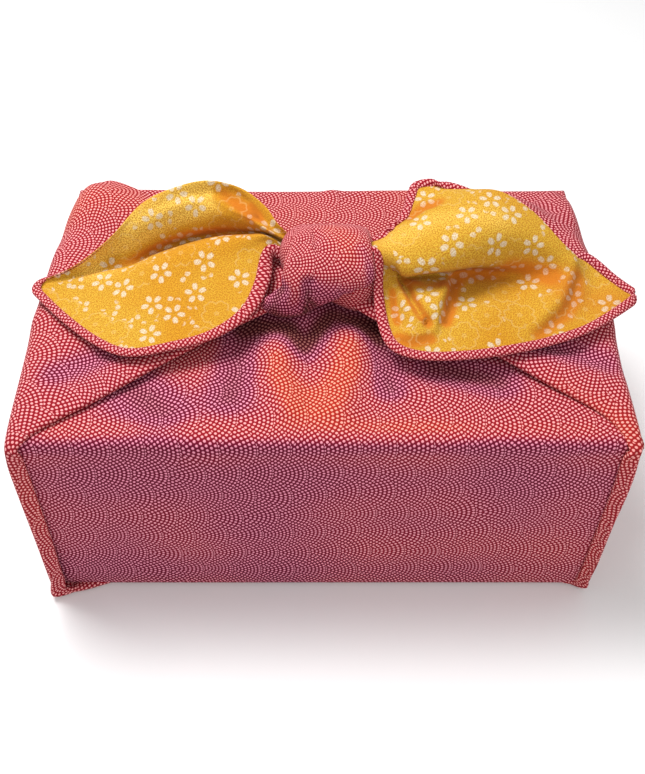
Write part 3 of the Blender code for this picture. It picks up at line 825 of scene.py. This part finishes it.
def knot_band():
    """A strap round the knot, wide over the top, that gathers and leans left down the front."""
    across = 44
    ring = np.array((0, 14.5, 12)) * MM
    thick = 4.5 * MM
    stations = through(BAND, 10)
    grid = np.zeros((len(stations), across + 1, 3))
    for i, (turn, middle, half_width) in enumerate(stations):
        out = np.array((0, math.cos(math.radians(turn)), math.sin(math.radians(turn))))
        for j in range(across + 1):
            angle = math.pi * j / across
            side = math.copysign(abs(math.cos(angle)) ** 0.6, math.cos(angle)) * half_width + middle
            lobe = 3 * MM * bell(turn, 212, 32) * bell(side, -15, 9)
            round_it = out * (ring + thick * math.sin(angle) ** 0.8 + lobe)
            grid[i, j] = KNOT + round_it + np.array((side * MM - KNOT[0], 0, 0))
    creases = (
        (((-2.8, 4, 135), (-2.4, -1.1, 135), (-1.2, -6.9, 133.7)), -2.2, 1.3),
        (((-17, -2, 124), (-16, -15.6, 121), (-18.3, -16.4, 115)), -2, 2.2),
        (((-5.5, -16.5, 125.6), (-5.9, -17.7, 119.3), (-4.1, -17.9, 109)), -2.8, 1.8),
        (((-13.4, -8.3, 129.8), (-10.2, -17, 123.9), (-9.7, -16.5, 112)), 1.4, 3),
        (((-8, -2, 134), (-8.5, -12, 129.5)), -1.3, 1.3),
        (((1, -8, 134), (5, -16, 126), (9, -17, 118)), -1.2, 1.7),
        (((13, -10, 131), (14, -17, 120)), -1, 1.8),
    )
    grid = creased(grid, creases)
    # Painted light and shade on the knot: a painted highlight over its top, and painted shadow in its
    # creases, down its right edge and over its lower part, where it meets the lid.
    light_and_shade_strokes = (
        (((4, 6, 134), (14, -6, 133)), 8, 0.5),
        (((-17, -2, 122), (-16, -15.6, 121), (-19, -16.4, 113)), 4, -1.6),
        (((-5.5, -17, 125), (-5.9, -18, 119), (-4, -18, 109)), 2.6, -1.2),
        (((-2, -17, 122), (10, -18, 119)), 6, -0.6),
        (((-14, -18, 110), (4.7, -18.4, 113), (11, -18, 112), (19, -18, 112)), 7, -0.9),
        (((-2.8, 4, 135), (-1.2, -6.9, 133.7)), 1.5, -0.8),
        (((16, -6, 133), (19, -13, 128), (18.5, -15, 118)), 3, -0.9),
        (((-20, -16, 108), (-8, -17, 108)), 4, -0.9),
    )
    piece = sheet("knot_band", grid, CRIMSON, CRIMSON, CRIMSON, heading=0.3, light_and_shade_strokes=light_and_shade_strokes,
                  gather=GATHER)
    cloth_piece(piece, (0.04, 0.10), ["outer_flap"])


CORE_GIRTH = 0.1
CORE_LENGTH = 0.05


def knot_core():
    """The two ends inside the band. On the right, one shows where it comes out beneath it."""
    deselect_all()
    bpy.ops.mesh.primitive_uv_sphere_add(segments=64, ring_count=40, radius=1)
    core = bpy.context.object
    core.name = "knot_core"
    half = np.array((21, 14, 12)) * MM
    for vert in core.data.vertices:
        direction = np.array(vert.co)
        blunt = (np.abs(direction) ** 3).sum() ** (-1 / 5)
        place = KNOT + direction * blunt * half
        right = min(max((place[0] - KNOT[0]) / (10 * MM), 0), 1)
        left = min(max((KNOT[0] - place[0]) / (12 * MM), 0), 1)
        vert.co = place + np.array((0, 4, 3.5)) * MM * left - np.array((0, 3.5, 3.5)) * MM * right
    core.data.uv_layers[0].name = "cloth"
    for layer in core.data.uv_layers["cloth"].data:
        layer.uv = (layer.uv[0] * CORE_GIRTH * GATHER, layer.uv[1] * CORE_LENGTH * GATHER)
    core.data.materials.append(CRIMSON)
    core.data.shade_smooth()
    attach(core, "root")
    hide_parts("furoshiki")


knot_band()
knot_core()


# The two free corners of the cloth fan out from the knot and show its inside. Their edges are
# hemmed: the outside is rolled over the edge and sewn down as a narrow round hem.
LEFT_EAR = (
    ((-10, 1, 119), (-10, 2.4, 119.6), (-10, 3.7, 120.2), (-10, 5.1, 120.9), (-10, 6.4, 121.5),
     (-10, 7.8, 122.1), (-10, 9.1, 122.7), (-10, 10, 123), (-10, 10.8, 123), (-10, 11.5, 121.5)),
    ((-21.3, 7, 122), (-21.5, 7.9, 123.7), (-21.8, 8.9, 125.3), (-22, 9.8, 127), (-22.3, 14.5, 124),
     (-21.7, 12, 126.5), (-20.7, 9.3, 129.5), (-20, 12.6, 129), (-17.9, 12.5, 131), (-18.5, 15.5, 126)),
    ((-24.1, -7.5, 118), (-26.5, -0.6, 120), (-28.8, 5.6, 122.6), (-31.1, 11, 126), (-31.8, 19.7, 120.5),
     (-30.6, 17.4, 125), (-28.5, 14.5, 131), (-27.1, 19, 131.5), (-23.7, 20.4, 134.5), (-24.5, 23.4, 128)),
    ((-30.1, -20.7, 114), (-34.6, -9.3, 116.4), (-39.1, 1.7, 119.6), (-43.6, 12.2, 123.5),
     (-45, 23.3, 116.5), (-42.6, 21.3, 123.5), (-38.6, 19.7, 132), (-37.1, 26.1, 133),
     (-34.2, 28.5, 137.5), (-35, 31.5, 130.5)),
    ((-43.1, -30.6, 111), (-47.4, -16.8, 113.6), (-51.7, -3.3, 117), (-56, 10.1, 121),
     (-58, 22.9, 113), (-54.5, 21.1, 121.5), (-48.8, 25, 132.5), (-48.1, 29.1, 134.5),
     (-47.9, 31.2, 139), (-47.9, 34.2, 131.5)),
    ((-59.4, -36.7, 110.5), (-62.4, -22.3, 112.4), (-65.3, -8, 115.1), (-68.2, 6.1, 118.5),
     (-71, 18.5, 111.2), (-68.8, 18.9, 118.5), (-64.9, 21.6, 129), (-63.7, 25.7, 133),
     (-62.4, 29.2, 136.5), (-62.2, 32.2, 129)),
    ((-75.8, -39.5, 110), (-76.9, -25.1, 111.1), (-77.8, -10.8, 113), (-78.6, 3.3, 115.5),
     (-80.7, 11.3, 110.8), (-80, 14.1, 115.5), (-77.9, 16.7, 123.5), (-76.4, 20.2, 128.5),
     (-75.4, 25, 131.5), (-75, 28.5, 124)),
    ((-89.6, -32.4, 110), (-89.6, -20.4, 110.4), (-89.2, -8.7, 111.5), (-88.7, 2.6, 113.4),
     (-90.2, 7.6, 111.2), (-90.2, 10.5, 113.6), (-89.4, 11.7, 117), (-88.5, 12.1, 120.4),
     (-87.4, 13.3, 123.6), (-86.8, 22, 113)),
    ((-104.4, -19.3, 110.5), (-103.5, -12.3, 110.4), (-102.3, -5.8, 111), (-100.8, 0, 112.4),
     (-101.6, 1.7, 112), (-101.6, 2.7, 112.8), (-101.4, 3.3, 114.4), (-101.3, 3.8, 115.6),
     (-101, 3.8, 117), (-100.6, 12, 109.4)),
    ((-117.2, -5.6, 111.4), (-117.1, -5, 111.5), (-117, -4.4, 111.7), (-116.9, -3.9, 111.8),
     (-116.7, -3.4, 111.9), (-116.7, -2.9, 112), (-116.7, -2.6, 112.2), (-116.7, -2.4, 112.4),
     (-116.7, -2.2, 112.6), (-116.7, -2, 112.5)),
)
RIGHT_EAR = (
    ((10, -4, 122.5), (10, -3, 121.5), (10, -2, 120.5), (10, -0.5, 120), (10, 1, 119.5),
     (10, 2.5, 121), (10, 4, 123), (10, 5.5, 124.5), (10, 7, 124.5), (10, 8.5, 124)),
    ((21.2, -3.1, 130.5), (23.4, -2.7, 127), (25, -3.4, 124.5), (26.5, -4.1, 123), (27.2, -5, 122.5),
     (27.3, -7.5, 126.5), (26, -5.6, 130.5), (23.8, -0.7, 131.5), (23.2, 2.4, 130.5), (22.2, 6.1, 129)),
    ((22.2, -13.4, 118.5), (26, -9.2, 116.5), (28.7, -7, 116.5), (31.1, -5.7, 117.5), (32.4, -3.9, 117.5),
     (32, -11.2, 125), (31.8, -6.7, 131.5), (31.2, 5.9, 133.5), (29.1, 10.6, 131.5), (27, 8.7, 131)),
    ((23.6, -24.6, 112.8), (28.6, -20.3, 112.6), (34.1, -17, 117), (38.6, -8.7, 117.5),
     (41.7, -0.4, 115.5), (40.2, -10.8, 126), (40, -4.3, 134), (40, 9.4, 136),
     (35.7, 15.8, 134), (33, 15.8, 132.5)),
    ((27.6, -35.7, 110), (34.4, -31, 112.5), (41.6, -23.3, 117), (47.1, -12.3, 117.5), (50.9, 1.4, 114.5),
     (49.3, -9.6, 126.5), (48.9, -3.7, 136), (49.8, 13.9, 138.5), (44.1, 21.8, 136), (36.7, 26.4, 134.5)),
    ((38.2, -40.6, 109.5), (45.4, -31.2, 111), (51.3, -20.2, 113), (57.1, -6.2, 112), (61.3, 4.9, 113),
     (60.4, -6, 126), (60.5, 0, 137), (61.4, 19.1, 139.5), (52.7, 27.1, 137), (39.8, 31.9, 136.5)),
    ((54.5, -40.6, 109.5), (59, -31.7, 111.5), (63.7, -21.3, 114), (68.9, -7.9, 113.5), (72, 1.9, 114),
     (71.4, -2.2, 124.5), (71.7, 3.7, 136), (72.8, 22.5, 139), (66.8, 27.8, 136), (55, 29.2, 136.5)),
    ((71, -37.9, 109.5), (74.5, -29.4, 112), (77.7, -20.1, 114), (81.6, -9, 114.5), (83.7, -1.6, 115.5),
     (84.2, 0.1, 121.5), (84.4, 3.7, 131), (85.4, 15.2, 135), (85.4, 17.7, 131), (84.7, 18.9, 127)),
    ((87, -34, 110), (89.6, -27.1, 112.5), (92.7, -19.4, 115.5), (96, -11.1, 117.5), (98.3, -5.6, 119),
     (99.2, -2.4, 121), (98.8, 0.9, 124), (97.7, 4.8, 127), (97.6, 6.4, 123), (96.9, 6.8, 119.5)),
    ((102.5, -28.8, 111.4), (104.7, -22.6, 112), (106.4, -16.6, 112.8), (107.9, -11.5, 113.6),
     (108.9, -7.7, 114.4), (109.3, -4.3, 115.2), (109.3, -1.2, 116.2), (108.8, 1.4, 117.2),
     (108.3, 4.2, 118), (107.7, 6.8, 119)),
    ((115.2, -21, 112.6), (115.9, -19, 112.9), (116.7, -16.7, 113.2), (117.2, -14.5, 113.6),
     (117.7, -12.6, 114), (118, -10.6, 114.4), (118.1, -8.7, 114.8), (118.2, -6.7, 115.2),
     (118.1, -4.8, 115.6), (117.9, -3.1, 116)),
    ((125.4, -13.1, 113.4), (125.7, -12.8, 113.5), (125.9, -12.5, 113.6), (126, -12.2, 113.7),
     (126.1, -11.9, 113.8), (126.1, -11.7, 113.9), (126, -11.4, 114), (125.9, -11.1, 114.1),
     (125.7, -10.8, 114.2), (125.3, -10.5, 114.3)),
)


HEM_WIDTH = 4 * MM
HEM_HEIGHT = 2.2 * MM
HEM_STEP = 1.1 * MM
HEM_SIDES = 16
CORNER_CLOTH = 0.6 * MM


def hem_roll(name, grid, fuller, at):
    """A round hem along both free edges of a corner and round its tip, fuller at one place."""
    normal = grid_normals(grid)
    edge = np.concatenate((grid[:, 0], grid[::-1, -1]))
    lean = np.concatenate((normal[:, 0], normal[::-1, -1]))
    length = run_length(edge)
    even = np.linspace(0, length[-1], int(length[-1] / HEM_STEP))
    line = np.stack([np.interp(even, length, edge[:, i]) for i in range(3)], 1)
    up = np.stack([np.interp(even, length, lean[:, i]) for i in range(3)], 1)
    for _ in range(3):
        for row in (line, up):
            row[1:-1] = (row[:-2] + 2 * row[1:-1] + row[2:]) / 4
    run = np.gradient(line, axis=0)
    run /= np.linalg.norm(run, axis=1, keepdims=True)
    up -= (up * run).sum(1, keepdims=True) * run
    up /= np.linalg.norm(up, axis=1, keepdims=True)
    side = np.cross(run, up)
    length = run_length(line)
    bulk = 1 + fuller * bell(length, at * length[-1], 24 * MM)
    bulk *= 0.45 + 0.55 * np.clip((length[-1] - length) / (14 * MM), 0, 1)
    points, faces, flat = [], [], []
    for i in range(len(line)):
        for j in range(HEM_SIDES):
            angle = 2 * math.pi * j / HEM_SIDES
            out = side[i] * HEM_WIDTH * math.cos(angle) + up[i] * HEM_HEIGHT * math.sin(angle)
            points.append(line[i] + out * bulk[i] / 2)
    strip = math.pi * (HEM_WIDTH + HEM_HEIGHT) / 2 / HEM_SIDES
    for i in range(len(line) - 1):
        here, there = i * HEM_SIDES, (i + 1) * HEM_SIDES
        for j in range(HEM_SIDES):
            k = (j + 1) % HEM_SIDES
            faces.append((here + j, here + k, there + k, there + j))
            loop = ((j, i), (j + 1, i), (j + 1, i + 1), (j, i + 1))
            flat += [(part * strip * GATHER, length[row] * GATHER) for part, row in loop]
    for ring in (0, len(line) - 1):
        cap = [ring * HEM_SIDES + j for j in range(HEM_SIDES)]
        faces.append(cap[::-1] if ring else cap)
        flat += [(0, 0)] * HEM_SIDES
    mesh = bpy.data.meshes.new(name)
    mesh.from_pydata([tuple(p) for p in points], [], faces)
    mesh.uv_layers.new(name="cloth").data.foreach_set("uv", np.array(flat, np.float32).ravel())
    hem = bpy.data.objects.new(name, mesh)
    bpy.context.scene.collection.objects.link(hem)
    mesh.materials.append(CRIMSON)
    mesh.shade_smooth()
    deselect_all()
    hem.select_set(True)
    bpy.context.view_layer.objects.active = hem
    bpy.ops.object.mode_set(mode="EDIT")
    bpy.ops.mesh.select_all(action="SELECT")
    bpy.ops.mesh.normals_make_consistent(inside=False)
    bpy.ops.object.mode_set(mode="OBJECT")
    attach(hem, "root")
    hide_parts("furoshiki")
    return hem


def free_corner(name, table, flat, area, fuller, at, creases, light_and_shade_strokes):
    grid = creased(loft(table, 9, 8), creases)
    hem = hem_roll(name + "_hem", grid, fuller, at)
    piece = sheet(name, grid, AMBER, CRIMSON, AMBER, thickness=CORNER_CLOTH, light_and_shade_strokes=light_and_shade_strokes)
    cloth_piece(piece, flat, ["knot_band"], area=area, with_pieces=[hem])


LEFT_EAR_CREASES = (
    (((-50, 27, 134), (-37, 18.5, 131.3), (-30, 15, 131)), -0.8, 1.8),
    (((-38, 28.5, 136), (-31, 24, 134)), -0.8, 1.4),
)
# Painted light and shade on the corners: painted shadow in the valleys, creases and hollows, under the
# roll, beside the tuck and over the right corner's tip, and painted light on the left corner's upper panel
# and the top of the right corner's roll.
LEFT_EAR_PAINTED_LIGHT_AND_SHADE = (
    (((-88, 10, 112.3), (-80, 13, 112), (-70, 19, 113.7),
      (-57, 21, 119), (-46, 23, 119), (-26, 12, 122)), 3.8, -1.1),
    (((-94, 8, 116), (-86, 13, 119), (-74, 18, 125.4), (-62, 23, 130), (-50, 27, 135)), 9, 1.2),
    (((-42, 28, 135), (-36, 24, 134), (-28, 17, 131)), 3.5, -1.2),
    (((-21, 9, 129), (-29, 22, 133)), 1.5, -0.6),
)
RIGHT_EAR_CREASES = (
    (((31.8, -3.7, 117.2), (35.6, -17.2, 117.1), (38.2, -23.9, 116.6), (41.2, -27, 114)), -3.2, 1.4),
    (((51.6, -0.6, 117), (49.3, -8.7, 117.5), (46.5, -20.2, 118),
      (44.7, -26, 114.4), (43.7, -29.6, 112)), 1.6, 1.6),
    (((54.6, -0.7, 113.1), (51.3, -14.4, 113.1), (48.6, -24.1, 111.2)), -2, 2.2),
    (((29.3, -12, 114.5), (30.2, -20, 112.8), (31, -25, 112.5)), -0.7, 1.5),
    (((33, -31, 112), (36, -32, 112.1), (40.1, -30.7, 112.1)), 1.0, 1.5),
    (((36.5, 14.1, 132.8), (40.8, 18.6, 134.4), (44.8, 18, 134.9)), -1.8, 3),
    (((100.8, -0.2, 122), (101.2, -3.6, 119.7), (95.3, -15.1, 116.5), (85.2, -26.1, 113.1)), 1.6, 3),
    (((102.8, -5, 118.3), (96.8, -21.1, 113.9), (84.7, -31.2, 111.2)), -1.2, 3),
)
RIGHT_EAR_PAINTED_LIGHT_AND_SHADE = (
    (((31.8, -3.7, 117.2), (35.6, -17.2, 117.1), (38.2, -23.9, 116.6), (41.2, -27, 114)), 1.9, -1.9),
    (((36, 14, 133), (41, 18.6, 134.4), (47, 19, 136)), 3.5, -1.1),
    (((54.6, -0.7, 113.1), (51.3, -14.4, 113.1), (48.6, -24.1, 111.2)), 3, -1.5),
    (((36, -6, 119), (42, -10, 121), (50, -6, 118)), 3, -1.6),
    (((58, 4, 113), (67.5, 3.5, 113.5), (76.5, -0.5, 119.7),
      (87, -1.3, 117.7), (92, -4, 118)), 5.0, -1.0),
    (((103, -5, 118.3), (97, -21, 113.9), (85, -31, 111.2)), 3.5, -0.9),
    (((29.5, -33, 111), (35, -35, 111), (42, -33, 110.5)), 2.6, -1.3),
    (((28.1, -10, 114.5), (28.7, -19.4, 112.3), (29.5, -25, 112.1)), 1.7, -1.3),
    (((26, 1, 131.5), (45, 8, 137), (70, 8, 137)), 7, 0.6),
    (((98, -12, 117), (116, -14, 113.6)), 10, -0.5),
)
free_corner("left_corner", LEFT_EAR, (0.12, 0.09), 0.0075, 0.6, 0.1, LEFT_EAR_CREASES, LEFT_EAR_PAINTED_LIGHT_AND_SHADE)
free_corner("right_corner", [row[::-1] for row in RIGHT_EAR], (0.12, 0.10), 0.0085, 0.35, 0.92,
            RIGHT_EAR_CREASES, RIGHT_EAR_PAINTED_LIGHT_AND_SHADE)
